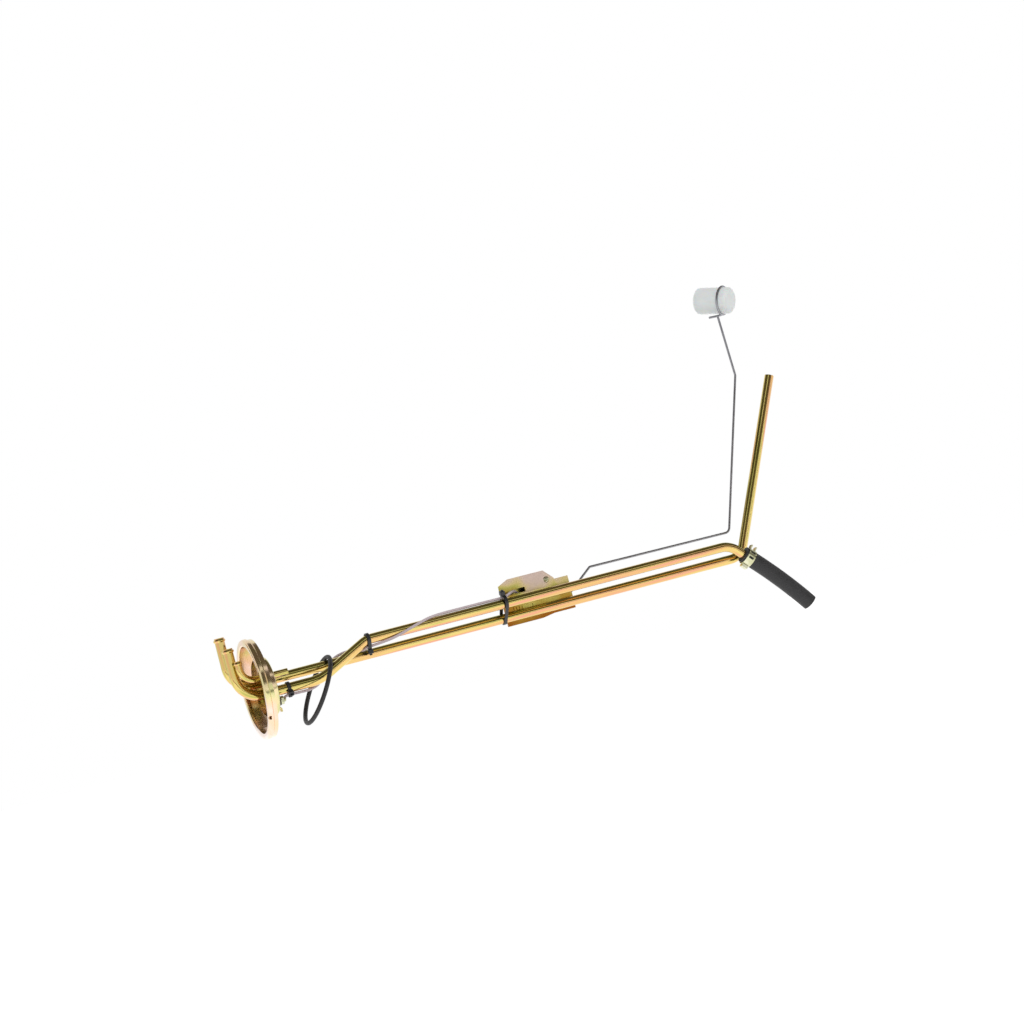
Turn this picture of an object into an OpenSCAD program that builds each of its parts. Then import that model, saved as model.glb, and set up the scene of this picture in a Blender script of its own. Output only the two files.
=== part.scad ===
// Fuel level sender for a side-mounted tank: a pressed flange carries a supply
// tube, a return tube and a vent tube, and the tubes carry a rheostat with a
// float on a long wire arm.
// +X runs from the flange's seating face into the tank, +Z is the side of the
// hose ports, and the origin is the centre of the seating face.

/* [Flange] */
// Outer radius of the rim
flange_r = 48.25; // [46.5:0.25:52]
// Height of the rim, from its front ring to the seating face
rim_h = 9; // [7:0.5:12]
// Radial width of the flat front ring
ring_w = 6.75; // [6:0.25:9]
// Thickness of the sheet steel
sheet_t = 1.2; // [0.8:0.1:1.5]
// Step between the rim and the narrower band below it
band_step = 1.2; // [0.6:0.1:1.8]
// Height of the narrower band
band_h = 3.6; // [2:0.2:4.6]
// Radius of the centre cup that enters the tank
cup_r = 28; // [26.5:0.25:30]
// Depth of the cup beyond the seating face
cup_h = 9; // [6:0.5:12]
// Width of the locating notch in the rim
notch_w = 4; // [2:0.5:6]

/* [Tubes] */
// Outer diameter of the supply and return tubes
tube_d = 9.5; // [8:0.1:10]
// Wall of the supply and return tubes
tube_wall = 0.9; // [0.6:0.1:1.4]
// Outer diameter of the vent tube
vent_d = 6.3; // [5:0.1:8]
// Wall of the vent tube
vent_wall = 0.8; // [0.5:0.1:1.2]
// How far the hose beads stand out
bead_h = 1.0; // [0.5:0.1:1.4]
// Distance between the two centre lines where the tubes run side by side
run_gap = 13.9; // [12:0.1:16]
// Length from the seating face to the return tube's corner
run_l = 519; // [500:1:560]
// Length of the return tube's upright leg
upright_l = 194.5; // [150:0.5:230]
// Angle of the upright leg from the run
upright_angle = 64; // [55:1:90]
// Angle at which the supply tube dips at its far end
dip_angle = 44; // [30:1:50]
// Height of the return port above the axis
return_port_h = 55; // [48:0.5:65]
// Height of the supply port above the axis
supply_port_h = 43; // [36:0.5:47]
// Height of the vent port above the axis
vent_port_h = 29.5; // [27:0.5:33]

/* [Hose] */
// Wall of the pickup hose
hose_wall = 3.5; // [2.5:0.1:4]
// Length of the pickup hose
hose_l = 88; // [80:1:110]
// How far the supply tube reaches into the hose
hose_grip = 20; // [14:1:24]
// Bend of the hose over its free length, in degrees
hose_bend = 9.5; // [4:0.5:14]
// Width of the clamp band
clamp_w = 8.5; // [6:0.5:10]
// Thickness of the clamp band
clamp_t = 1; // [0.6:0.1:1.4]

/* [Bracket and rheostat] */
// Length of the bracket plate along the tubes
plate_l = 59; // [56:0.5:62]
// Distance from the seating face to the bracket plate
plate_x = 256.6; // [250:1:262]
// Height of the bracket plate above the supply tube's centre line
plate_rise = 22.8; // [20:0.2:26]
// Thickness of the bracket and housing sheet
plate_t = 1.2; // [0.8:0.1:1.5]
// Length of the rheostat housing
case_l = 69; // [66:0.5:72]
// Height of the rheostat housing at its pivot end
case_h = 33; // [32:0.5:33.5]
// Depth of the rheostat housing
case_d = 11; // [10:0.5:14]
// Thickness of the resistor card
card_t = 1.6; // [1:0.1:2]
// Radius at which the wiper sweeps
wiper_r = 28; // [26:0.5:29]
// Diameter of the pivot shaft
shaft_d = 5; // [4:0.1:6]

/* [Float] */
// Diameter of the arm wire
wire_d = 2.4; // [1.8:0.1:3]
// Rise of the arm from its pivot to its first elbow
arm_rise = 28; // [24:0.5:34]
// Reach of the arm from its pivot to its main corner
arm_reach = 198.5; // [180:0.5:215]
// Height of the arm's long leg above its main corner
arm_leg_h = 157.3; // [140:0.5:170]
// Diameter of the float
float_d = 28; // [24:0.5:32]
// Length of the float
float_l = 39; // [34:0.5:44]

/* [Small parts] */
// Section diameter of the seal ring
seal_d = 4.3; // [3:0.1:5]
// Width of the cable ties
tie_w = 3.4; // [2.4:0.1:4.6]
// Thickness of the cable tie straps
tie_t = 1.2; // [0.8:0.1:1.6]
// Diameter of the lead
lead_d = 2.6; // [2:0.1:2.8]
// Diameter of the terminal stud
stud_d = 4; // [3:0.1:5]

/* [Hidden] */
$fn = 48;

// Colours of the finishes
zinc = [0.80, 0.72, 0.38];
pale_zinc = [0.80, 0.82, 0.70];
black = [0.10, 0.10, 0.11];
steel = [0.62, 0.63, 0.65];
white = [0.93, 0.94, 0.95];
lead_colour = [0.82, 0.72, 0.74];
board = [0.55, 0.38, 0.22];

// Clearances: a running fit, a drawn gap between neighbours, and a hair for wrapped parts
run_clear = 0.05;
gap = 0.3;
hair = 0.1;

tube_r = tube_d / 2;
vent_r = vent_d / 2;
hose_r = tube_r + hose_wall;
wire_r = wire_d / 2;
lead_r = lead_d / 2;
float_r = float_d / 2;
shaft_r = shaft_d / 2;
stud_r = stud_d / 2;

// Places of the tubes in the flange, as Y and Z
return_y = 8;
return_z = 5.3;
supply_y = -6.4;
supply_z = -6.2;
vent_y = -15.5;
vent_z = 9.1;
// How far each port stands outside the seating face, and the port bends
return_port_x = -26.1;
supply_port_x = -24;
vent_port_x = -19.6;
return_port_bend = 20;
supply_port_bend = 22;
vent_port_bend = 13;
// Inner end of the vent stub
vent_end = 24;
// Bend radii of the long tubes
upright_bend = 20;
low_bend = 45;
high_bend = 25;
dip_bend = 25;
// The supply tube climbs from its low corner to its high corner, in front of
// the return tube
low_corner_x = 55.5;
high_corner_x = 108.3;
run_z = return_z + run_gap;
// Straight stretch of the supply tube between its last corner and the hose
dip_corner_x = run_l - 16.7;
dip_l = 17.5;

// Direction of a slope in the X-Z plane, in degrees above +X
function slope(a) = [cos(a), 0, sin(a)];
function unit(v) = v / norm(v);

// Columns x, y, z and place o as a rigid matrix
function axes(x, y, z, o) = [
    [x[0], y[0], z[0], o[0]],
    [x[1], y[1], z[1], o[1]],
    [x[2], y[2], z[2], o[2]],
    [0, 0, 0, 1]];

// A matrix that carries +Z to direction d at place o
function aim(d, o) =
    let (side = abs(d[1]) < 0.9 ? [0, 1, 0] : [1, 0, 0])
    let (x = unit(cross(side, d)))
    axes(x, cross(d, x), d, o);

module section(outer, wall) {
    difference() {
        circle(outer);
        if (wall > 0) circle(outer - wall);
    }
}

// Heading from a to b in the X-Z plane, in degrees from +Z towards +X
function heading(a, b) = atan2(b[0] - a[0], b[2] - a[2]);

// A drawn bend swells by a hair, and each straight leg bites a little way into
// it, both as shares of the tube's radius
bend_swell = 0.0105;
bend_bite = 0.1;

// A round tube or rod in an X-Z plane along the corners p, with bend radii r.
// It is laid out as a bender works: a straight leg, a turn, and the next leg.
// A wall of 0 is solid.
module bent(p, r, outer, wall) {
    n = len(p);
    headings = [for (i = [0 : n - 2]) heading(p[i], p[i + 1])];
    turns = [for (i = [1 : 1 : n - 2]) headings[i] - headings[i - 1]];
    takes = concat([0], [for (i = [0 : 1 : n - 3]) r[i] * tan(abs(turns[i]) / 2)], [0]);
    legs = [for (i = [0 : n - 2]) norm(p[i + 1] - p[i]) - takes[i] - takes[i + 1]];
    translate(p[0]) rotate([0, headings[0], 0]) legs_from(0, legs, turns, r, outer, wall);
}
module legs_from(i, legs, turns, r, outer, wall) {
    before = i > 0 ? bend_bite * outer : 0;
    after = i < len(turns) ? bend_bite * outer : 0;
    swell = bend_swell * outer;
    translate([0, 0, -before]) linear_extrude(legs[i] + before + after) section(outer, wall);
    if (i < len(turns)) {
        side = turns[i] < 0 ? 180 : 0;
        angle = abs(turns[i]);
        translate([0, 0, legs[i]]) rotate([0, 0, side]) {
            translate([r[i], 0, 0]) rotate([90, 0, 180])
                rotate_extrude(angle = angle) translate([r[i], 0])
                    section(outer + swell, wall > 0 ? wall + 2 * swell : 0);
            translate([r[i], 0, 0]) rotate([0, angle, 0]) translate([-r[i], 0, 0]) rotate([0, 0, -side])
                legs_from(i + 1, legs, turns, r, outer, wall);
        }
    }
}

// A hose bead: a rounded ring near the end of a tube of radius r, opening along +Z
module bead(r, wall) {
    bead_r = bead_h * 1.6;
    difference() {
        rotate_extrude() translate([r + bead_h - bead_r, 0]) circle(bead_r);
        cylinder(h = 4 * bead_r, r = r - wall / 2, center = true);
    }
}
bead_drop = 2.6;

// Turns a profile of radius and height so that its axis runs along +X
module along_x(x = 0, y = 0, z = 0) {
    translate([x, y, z]) rotate([0, 90, 0]) children();
}

// Points of a quarter round of radius r about c, from angle a to angle b
function arc(c, r, a, b, n = 6) = [for (i = [0 : n]) c + r * [cos(a + (b - a) * i / n), sin(a + (b - a) * i / n)]];

// Flange
rim_round = 2.4;
lip_round = 1.4;
cup_round = 1.8;
recess_r = flange_r - ring_w;
band_r = flange_r - band_step;
function flange_profile() = concat(
    [[band_r, 0], [band_r, -band_h], [flange_r, -band_h - band_step]],
    arc([flange_r - rim_round, rim_round - rim_h], rim_round, 0, -90),
    arc([recess_r + lip_round, lip_round - rim_h], lip_round, -90, -180),
    [[recess_r, -sheet_t], [cup_r - sheet_t, -sheet_t],
     [cup_r - sheet_t, cup_h - sheet_t], [0, cup_h - sheet_t], [0, cup_h]],
    arc([cup_r - cup_round, cup_h - cup_round], cup_round, 90, 0),
    [[cup_r, 0], [recess_r + sheet_t, 0], [recess_r + sheet_t, sheet_t - rim_h],
     [flange_r - sheet_t - lip_round, sheet_t - rim_h],
     [flange_r - sheet_t, sheet_t + lip_round - rim_h],
     [flange_r - sheet_t, -band_h - band_step], [band_r - sheet_t, -band_h], [band_r - sheet_t, 0]]);

// Angle of the locating notch round the rim, from -Y towards +Z
notch_angle = 36;
notch_depth = 2.6;

// Stud, tab and insulator places on the cup floor, as Y and Z
stud_y = -14.5;
stud_z = -15.5;
insulator_r = 4.5;
insulator_h = 1.8;

module flange() color(zinc) difference() {
    along_x() rotate_extrude() polygon(flange_profile());
    for (t = [[return_y, return_z, tube_r], [supply_y, supply_z, tube_r],
              [vent_y, vent_z, vent_r], [stud_y, stud_z, stud_r + 1]])
        along_x(cup_h - 2 * sheet_t, t[0], t[1]) cylinder(h = 3 * sheet_t, r = t[2]);
    rotate([notch_angle, 0, 0]) translate([-rim_h - 1, -flange_r - 1, -notch_w / 2])
        cube([notch_depth + 1, notch_depth + 1, notch_w]);
}

// Braze fillets round the tubes, on the cup's outer floor
braze_w = 1.6;
module braze_ring(y, z, r) {
    along_x(cup_h - sheet_t, y, z)
        rotate_extrude() polygon([[r, 0], [r + braze_w, 0], [r, -braze_w]]);
}
module braze_rings() color(zinc) {
    braze_ring(return_y, return_z, tube_r);
    braze_ring(supply_y, supply_z, tube_r);
    braze_ring(vent_y, vent_z, vent_r);
}

// Tubes
upright_end = [run_l, return_y, return_z] + slope(upright_angle) * upright_l;
return_path = [[return_port_x, return_y, return_port_h], [return_port_x, return_y, return_z],
    [run_l, return_y, return_z], upright_end];
module return_tube() color(zinc) {
    bent(return_path, [return_port_bend, upright_bend], tube_r, tube_wall);
    translate([return_port_x, return_y, return_port_h - bead_drop]) bead(tube_r, tube_wall);
}

dip_dir = slope(-dip_angle);
dip_corner = [dip_corner_x, supply_y, run_z];
hose_start = dip_corner + dip_dir * dip_l;
supply_path = [[supply_port_x, supply_y, supply_port_h], [supply_port_x, supply_y, supply_z],
    [low_corner_x, supply_y, supply_z], [high_corner_x, supply_y, run_z],
    dip_corner, hose_start + dip_dir * hose_grip];
module supply_tube() color(zinc) {
    bent(supply_path, [supply_port_bend, low_bend, high_bend, dip_bend], tube_r, tube_wall);
    translate([supply_port_x, supply_y, supply_port_h - bead_drop]) bead(tube_r, tube_wall);
}

module vent_tube() color(zinc) {
    bent([[vent_port_x, vent_y, vent_port_h], [vent_port_x, vent_y, vent_z], [vent_end, vent_y, vent_z]],
        [vent_port_bend], vent_r, vent_wall);
    translate([vent_port_x, vent_y, vent_port_h - bead_drop]) bead(vent_r, vent_wall);
}

// Terminal through the cup floor
stud_out = 9;
stud_in = 5.5;
nut_r = stud_r + 1.9;
nut_h = 2.4;
eye_t = 0.8;
module terminal_insulator() color(black) difference() {
    union() {
        along_x(cup_h - sheet_t - insulator_h, stud_y, stud_z)
            cylinder(h = 2 * insulator_h + sheet_t, r = stud_r + 1);
        for (x = [cup_h - sheet_t - insulator_h, cup_h])
            along_x(x, stud_y, stud_z) cylinder(h = insulator_h, r = insulator_r);
    }
    along_x(-cup_h, stud_y, stud_z) cylinder(h = 3 * cup_h, r = stud_r);
}
stud_start = cup_h - sheet_t - insulator_h - stud_out;
module terminal_stud() color(steel)
    along_x(stud_start, stud_y, stud_z)
        cylinder(h = stud_out + 2 * insulator_h + sheet_t + stud_in, r = stud_r);
module hex_nut(x) {
    along_x(x, stud_y, stud_z) difference() {
        cylinder(h = nut_h, r = nut_r, $fn = 6);
        translate([0, 0, -1]) cylinder(h = nut_h + 2, r = stud_r);
    }
}
module terminal_nuts() color(pale_zinc) {
    hex_nut(cup_h - sheet_t - insulator_h - nut_h);
    hex_nut(cup_h + insulator_h + eye_t);
}
// The lead's eye: a flat ring, a tongue, and a barrel crimped round the lead
barrel_l = 4;
barrel_wall = 0.7;
tongue_l = stud_r + 5;
tongue_w = 3;
barrel_x = cup_h + insulator_h + lead_r;
module lead_terminal() color(pale_zinc) {
    along_x(cup_h + insulator_h, stud_y, stud_z) linear_extrude(eye_t) difference() {
        union() {
            circle(stud_r + 2);
            translate([-tongue_w / 2, 0]) square([tongue_w, tongue_l + 0.3]);
        }
        circle(stud_r);
    }
    translate([barrel_x, stud_y + tongue_l, stud_z]) rotate([-90, 0, 0]) difference() {
        cylinder(h = barrel_l, r = lead_r + barrel_wall);
        translate([0, 0, -1]) cylinder(h = barrel_l + 2, r = lead_r);
    }
}

// Ground tab welded under the cup floor: a foot, a joggle and a blade
tab_w = 6;
tab_t = 1;
tab_rise = 2.4;
tab_foot = 2.6;
tab_l = 8.2;
tab_y = -5;
tab_z = -17.8;
module ground_tab() color(zinc)
    translate([0, tab_y - tab_w / 2, 0]) rotate([90, 0, 0]) mirror([0, 0, 1])
        linear_extrude(tab_w) polygon([[cup_h, tab_z], [cup_h + tab_t, tab_z],
            [cup_h + tab_t, tab_z - tab_foot + 0.4],
            [cup_h + tab_t + tab_rise, tab_z - tab_foot - tab_rise],
            [cup_h + tab_t + tab_rise, tab_z - tab_l], [cup_h + tab_rise, tab_z - tab_l],
            [cup_h + tab_rise, tab_z - tab_foot - tab_rise - 0.4], [cup_h, tab_z - tab_foot]]);

// Seal ring, hung round the tubes and leaning on the return tube
seal_r = cup_r + seal_d / 2 + 2.3;
seal_lean = 31;
seal_top = [69.1, 3, return_z + tube_r + seal_d / 2 + 0.5];
seal_centre = seal_top - seal_r * [sin(seal_lean), 0, cos(seal_lean)];
module seal_ring() color(black)
    multmatrix(aim([cos(seal_lean), 0, -sin(seal_lean)], seal_centre))
        rotate_extrude($fn = 72) translate([seal_r, 0]) circle(seal_d / 2);

// Bracket: a flat plate welded behind both tubes, with chamfered top corners
plate_y = return_y + tube_r;
plate_low = return_z - 9;
plate_top = run_z + plate_rise;
plate_chamfer = 9.5;
// Where the plate's foot ends and its heel starts to rise
plate_foot = 38;
plate_heel = 51;
// Windows in the plate, as distance along it, height above its foot, width and height
windows = [[9, 30, 18, 4.5], [6, 13, 4.5, 4.5], [12, 13, 1.6, 4], [15, 13, 1.6, 4], [18, 13, 1.6, 4],
    [23, 13.5, 8, 3.5]];
// A ledge reaches forward over the supply tube and is welded along its top
ledge_from = 1;
ledge_l = 46;
ledge_z = run_z + tube_r;
module sender_bracket() color(zinc) {
    translate([plate_x, plate_y + plate_t, 0]) rotate([90, 0, 0]) linear_extrude(plate_t) difference() {
        polygon([[0, plate_low], [plate_foot, plate_low], [plate_heel, plate_low + 2],
            [plate_l, plate_low + 2],
            [plate_l, plate_top - plate_chamfer], [plate_l - plate_chamfer, plate_top],
            [11, plate_top], [0, plate_top - 5]]);
        for (w = windows) translate([w[0], plate_low + w[1]]) square([w[2], w[3]]);
        for (r = plate_rivets) translate(r) circle(rivet_r);
    }
    translate([plate_x + ledge_from, supply_y - 1, ledge_z])
        cube([ledge_l, plate_y - supply_y + 1, plate_t * 0.8]);
}

// Rheostat housing: a pressed tray riveted to the back of the bracket. Its
// crown stands taller behind the bracket, with the same chamfer
case_x = plate_x + 5.5;
case_low = plate_low + 2;
case_y = plate_y + plate_t;
rivet_r = 1.6;
rivet_head_r = 3.1;
plate_rivets = [[51, plate_top - 9.6], [12, run_z + 0.8]];
pivot_x = case_x + case_l - 6.5;
pivot_z = return_z + 0.7;
notch_r = 4;
crown_x = plate_x + plate_l - 1.5;
crown_z = plate_top - 4.7;
// The chamfer runs where x + z is constant, inside the bracket's own
crown_line = plate_x + plate_l + plate_top - plate_chamfer - 1;
// Outline of the tray, drawn in by t
function tray(t) = [[case_x + t, case_low + t], [case_x + case_l - t, case_low + t],
    [case_x + case_l - t, case_low + case_h - t], [crown_x - t, case_low + case_h - t],
    [crown_x - t, crown_line - t * sqrt(2) - (crown_x - t)],
    [crown_line - t * sqrt(2) - (crown_z - t), crown_z - t], [case_x + t, crown_z - t]];
module side_notch(r) {
    translate([case_x + case_l + 1.5, case_low + 19]) circle(r);
}
module rheostat_housing() color(zinc) difference() {
    translate([0, case_y + case_d, 0]) rotate([90, 0, 0]) linear_extrude(case_d) difference() {
        polygon(tray(0));
        side_notch(notch_r);
    }
    translate([0, case_y + case_d + 1, 0]) rotate([90, 0, 0]) linear_extrude(case_d + 1 - plate_t)
        difference() {
            polygon(tray(plate_t));
            side_notch(notch_r + plate_t);
        }
    translate([plate_x + 9, case_y - 1, plate_low + 30]) cube([18, plate_t + 2, 4.5]);
    for (r = plate_rivets) translate([plate_x + r[0], case_y - 1, r[1]])
        rotate([-90, 0, 0]) cylinder(h = plate_t + 2, r = rivet_r);
}

// Cover over the back of the tray, with the pivot's bush
bush_r = shaft_r + 1.8;
cover_y = case_y + case_d;
module rheostat_cover() color(zinc) difference() {
    translate([0, cover_y + plate_t, 0]) rotate([90, 0, 0]) linear_extrude(plate_t) difference() {
        polygon(tray(0));
        side_notch(notch_r);
    }
    translate([pivot_x, cover_y - 1, pivot_z]) rotate([-90, 0, 0]) cylinder(h = plate_t + 2, r = bush_r);
}
bush_flange = 1;
module pivot_bush() color(black) difference() {
    translate([pivot_x, cover_y - bush_flange, pivot_z]) rotate([-90, 0, 0]) union() {
        cylinder(h = plate_t + 2 * bush_flange, r = bush_r);
        cylinder(h = bush_flange, r = bush_r + 0.6);
    }
    translate([pivot_x, cover_y - 5, pivot_z]) rotate([-90, 0, 0]) cylinder(h = 10, r = shaft_r + run_clear);
}

// Rivets: a domed head in front and a flat one inside the tray
module rivet(x, z) {
    translate([x, plate_y, z]) rotate([90, 0, 0]) {
        translate([0, 0, -2 * plate_t]) cylinder(h = 2 * plate_t, r = rivet_r);
        intersection() {
            translate([0, 0, 1.6 - rivet_head_r * 1.2]) sphere(rivet_head_r * 1.2);
            cylinder(h = 2, r = rivet_head_r);
        }
        translate([0, 0, -2 * plate_t - 0.8]) cylinder(h = 0.8, r = rivet_r + 0.3);
    }
}
module housing_rivets() color(steel)
    for (r = plate_rivets) rivet(plate_x + r[0], r[1]);

// Resistor card on the tray's floor, with its track and the lead's contact
card_y = case_y + plate_t;
card_l = 26;
card_x = pivot_x - wiper_r - 11;
card_low = case_low + plate_t + 1;
card_h = case_h - 2 * plate_t - 1;
module resistor_card() color(board)
    translate([card_x, card_y, card_low]) cube([card_l, card_t, card_h]);

track_y = card_y + card_t;
track_w = 5;
track_t = 0.4;
wiper_rest = 188;
sweep = 54;
finger_step = 4.5;
// The track is a band of arc with a finger at each step, as a printed resistor has
module resistor_track() color(steel)
    translate([pivot_x, track_y + track_t, pivot_z]) rotate([90, 0, 0]) {
        rotate([0, 0, wiper_rest - sweep - 3]) rotate_extrude(angle = sweep + 6)
            translate([wiper_r - track_w / 2, 0]) square([track_w, track_t]);
        for (i = [0 : floor(sweep / finger_step)])
            rotate([0, 0, wiper_rest - i * finger_step])
                translate([wiper_r + track_w / 2 - 0.2, -0.5, 0]) cube([2.5, 1, track_t]);
    }

contact_l = 6;
contact_h = 5;
contact_d = 4;
contact_z = card_low + card_h - 9;
module card_contact() color(pale_zinc) difference() {
    translate([card_x - contact_l, card_y, contact_z]) cube([contact_l, contact_d, contact_h]);
    translate([card_x - contact_l / 2, card_y - 1, contact_z + contact_h / 2])
        rotate([-90, 0, 0]) cylinder(h = 2 * contact_d, r = 1);
}

// Pivot shaft, wiper and clip, which turn with the arm
shaft_start = track_y + track_t + gap;
arm_y = cover_y + plate_t + bush_flange + gap + wire_r;
clip_t = 0.8;
shaft_end = arm_y + wire_r + clip_t + 1.6;
module pivot_shaft() color(steel)
    translate([pivot_x, shaft_start, pivot_z]) rotate([-90, 0, 0])
        cylinder(h = shaft_end - shaft_start, r = shaft_r);
wiper_t = 0.8;
hub_h = 3;
module wiper() color(pale_zinc)
    translate([pivot_x, shaft_start + hub_h, pivot_z]) rotate([90, 0, 0]) difference() {
        union() {
            cylinder(h = hub_h, r = shaft_r + 1.6);
            translate([0, 0, hub_h - wiper_t]) linear_extrude(wiper_t) rotate([0, 0, wiper_rest])
                polygon([[0, -3], [wiper_r - 3, -1.6], [wiper_r + 1.5, -1.2],
                    [wiper_r + 1.5, 1.2], [wiper_r - 3, 1.6], [0, 3]]);
        }
        translate([0, 0, -1]) cylinder(h = hub_h + 2, r = shaft_r);
    }
module arm_clip() color(steel)
    translate([pivot_x, arm_y + wire_r, pivot_z]) rotate([-90, 0, 0]) difference() {
        cylinder(h = clip_t, r = shaft_r + 2);
        translate([0, 0, -1]) cylinder(h = clip_t + 2, r = shaft_r);
    }

// Float arm: an eye round the shaft, a rise, a long reach, a tall leg, and a
// ring that holds the float
arm_corner = [pivot_x + arm_reach, arm_y, pivot_z + arm_rise - 1];
arm_leg_angle = 71.1;
arm_tip_h = 65;
arm_tip_back = 2;
arm_top = arm_corner + [arm_leg_h / tan(arm_leg_angle), 0, arm_leg_h];
arm_end = arm_top + [-arm_tip_back, 0, arm_tip_h];
eye_r = shaft_r + wire_r;
float_axis = unit([22, -29, -10]);
ring_out = 10.4;
ring_up = 14.9;
ring_centre = arm_end + [ring_out, 0, ring_up];
groove = 0.6;
ring_r = float_r + wire_r - groove;
ring_foot = ring_centre - ring_r * unit([0, 0, 1] - float_axis * float_axis[2]);
arm_path = [[pivot_x + eye_r * 0.8, arm_y, pivot_z + eye_r * 0.6],
    [pivot_x + arm_rise * 1.35, arm_y, pivot_z + arm_rise],
    arm_corner, arm_top, arm_end];
tail_l = 10;
foot_way = ring_foot - arm_end;
module float_arm() color(steel) {
    translate([pivot_x, arm_y, pivot_z]) rotate([90, 0, 0])
        rotate_extrude() translate([eye_r, 0]) circle(wire_r);
    bent(arm_path, [3, 6, 4], wire_r, 0);
    translate(arm_end) sphere(wire_r * 1.04);
    translate(arm_end) rotate([0, -90, 0]) cylinder(h = tail_l, r = wire_r * 0.98);
    multmatrix(aim(unit(foot_way), arm_end)) cylinder(h = norm(foot_way), r = wire_r * 0.98);
    multmatrix(aim(float_axis, ring_centre)) rotate_extrude() translate([ring_r, 0]) circle(wire_r);
}

// Float: a hollow moulded cup with a rounded end and a groove for the wire,
// and a rounded cap welded in its other end
ring_inset = 9.7;
float_round = 4;
float_wall = 1.4;
float_foot = ring_inset - float_l;
cap_grip = 3;
module float() color(white)
    multmatrix(aim(float_axis, ring_centre)) rotate_extrude() difference() {
        polygon(concat([[float_r - float_wall, float_foot + float_round], [float_r, float_foot + float_round]],
            arc([float_r - float_round, ring_inset - float_round], float_round, 0, 90),
            [[0, ring_inset], [0, ring_inset - float_wall]],
            arc([float_r - float_round, ring_inset - float_round], float_round - float_wall, 90, 0)));
        translate([ring_r, 0]) circle(wire_r);
    }
module float_cap() color(white)
    multmatrix(aim(float_axis, ring_centre + float_axis * float_foot)) rotate_extrude()
        polygon(concat([[0, 0]], arc([float_r - float_round, float_round], float_round, -90, 0),
            [[float_r - float_wall, float_round], [float_r - float_wall, float_round + cap_grip],
             [float_r - 2 * float_wall, float_round + cap_grip], [float_r - 2 * float_wall, float_wall],
             [0, float_wall]]));

// Pickup hose: one even curve, which runs straight with the tube at the middle of its grip
hose_curve_r = hose_l / (hose_bend * PI / 180);
hose_first = dip_angle - hose_bend * hose_grip / (2 * hose_l);
hose_dir = slope(-hose_first);
hose_side = [-sin(hose_first), 0, -cos(hose_first)];
hose_centre = hose_start + hose_side * hose_curve_r;
module pickup_hose() color(black)
    multmatrix(axes(-hose_side, hose_dir, cross(-hose_side, hose_dir), hose_centre))
        rotate_extrude(angle = hose_bend, $fn = 360) translate([hose_curve_r, 0]) section(hose_r, hose_wall);

// Spring clamp: a band with two slots and two lugs
clamp_inset = 2;
lug_w = 6;
lug_h = 4;
module hose_clamp() color(pale_zinc)
    multmatrix(axes([sin(dip_angle), 0, cos(dip_angle)], [0, -1, 0], dip_dir,
            hose_start + dip_dir * clamp_inset)) {
        difference() {
            cylinder(h = clamp_w, r = hose_r + clamp_t);
            translate([0, 0, -1]) cylinder(h = clamp_w + 2, r = hose_r);
            for (a = [62, 100]) rotate([0, 0, a])
                translate([hose_r - 1, -1.2, clamp_w / 2 - 2.6]) cube([clamp_t + 2, 2.4, 5.2]);
        }
        translate([hose_r + clamp_t - 0.2, -lug_w / 2, 1]) cube([lug_h, lug_w, clamp_t * 1.2]);
        translate([hose_r + clamp_t - 0.2, -lug_w / 2, clamp_w - 2.4]) cube([lug_h, lug_w, clamp_t * 1.2]);
        translate([-hose_r - clamp_t - lug_h + 1.2, -lug_w / 2, 1]) cube([lug_h - 1, lug_w, clamp_w - 2]);
    }

// Cable ties: a strap round two circles in the Y-Z plane, and its head
module strap(x, a, ra, b, rb) {
    translate([x - tie_w / 2, 0, 0]) rotate([90, 0, 90]) linear_extrude(tie_w) difference() {
        hull() {
            translate(a) circle(ra + hair + tie_t, $fn = 32);
            translate(b) circle(rb + hair + tie_t, $fn = 32);
        }
        hull() {
            translate(a) circle(ra + hair, $fn = 32);
            translate(b) circle(rb + hair, $fn = 32);
        }
    }
}
head_w = 5;
head_h = 4.4;
module tie_head(x, y, z, tilt) {
    translate([x, y, z]) rotate([tilt, 0, 0]) {
        translate([-head_w / 2, -head_w / 2, 0]) cube([head_w, head_w, head_h]);
        translate([-tie_w / 2 + 0.4, -tie_t / 2 - 0.6, head_h]) cube([tie_w - 0.8, tie_t, 1.4]);
    }
}

tie_1_x = 23;
tie_2_x = 109;
tie_3_x = 252;
// Where the lead passes under each tie, as Y and Z
tie_1_lead = [supply_y - 1, supply_z - tube_r - lead_r - 2 * hair];
tie_2_lead = [supply_y + 0.5, run_z - 0.4 - tube_r - lead_r - 0.8];
tie_3_lead = [supply_y, run_z + tube_r + lead_r + 0.2];
module cable_tie_1() color(black) {
    strap(tie_1_x, [supply_y, supply_z], tube_r, tie_1_lead, lead_r + hair);
    tie_head(tie_1_x, supply_y - 0.8 * (tube_r + tie_t), supply_z - 0.6 * (tube_r + tie_t), 127);
}
module cable_tie_2() color(black) {
    strap(tie_2_x, [supply_y, run_z - 0.4], tube_r + 0.4, tie_2_lead, lead_r + 0.4);
    tie_head(tie_2_x, tie_2_lead[0], tie_2_lead[1] - lead_r - tie_t + 0.1, 180);
}
module cable_tie_3() color(black) {
    strap(tie_3_x, [supply_y, run_z + lead_r], tube_r + lead_r + 0.2, [return_y, return_z], tube_r);
    tie_head(tie_3_x - 1, supply_y - 2, run_z + tube_r + lead_d + hair + tie_t - 0.2, 20);
}

// Lead, from its eye along the tubes to the card's contact. It winds once
// half round the supply tube, by angles from below the tube over its front
lead_orbit = tube_r + lead_r + 0.3;
function wound(x, a) = [x, supply_y - lead_orbit * sin(a), run_z - lead_orbit * cos(a)];
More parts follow.
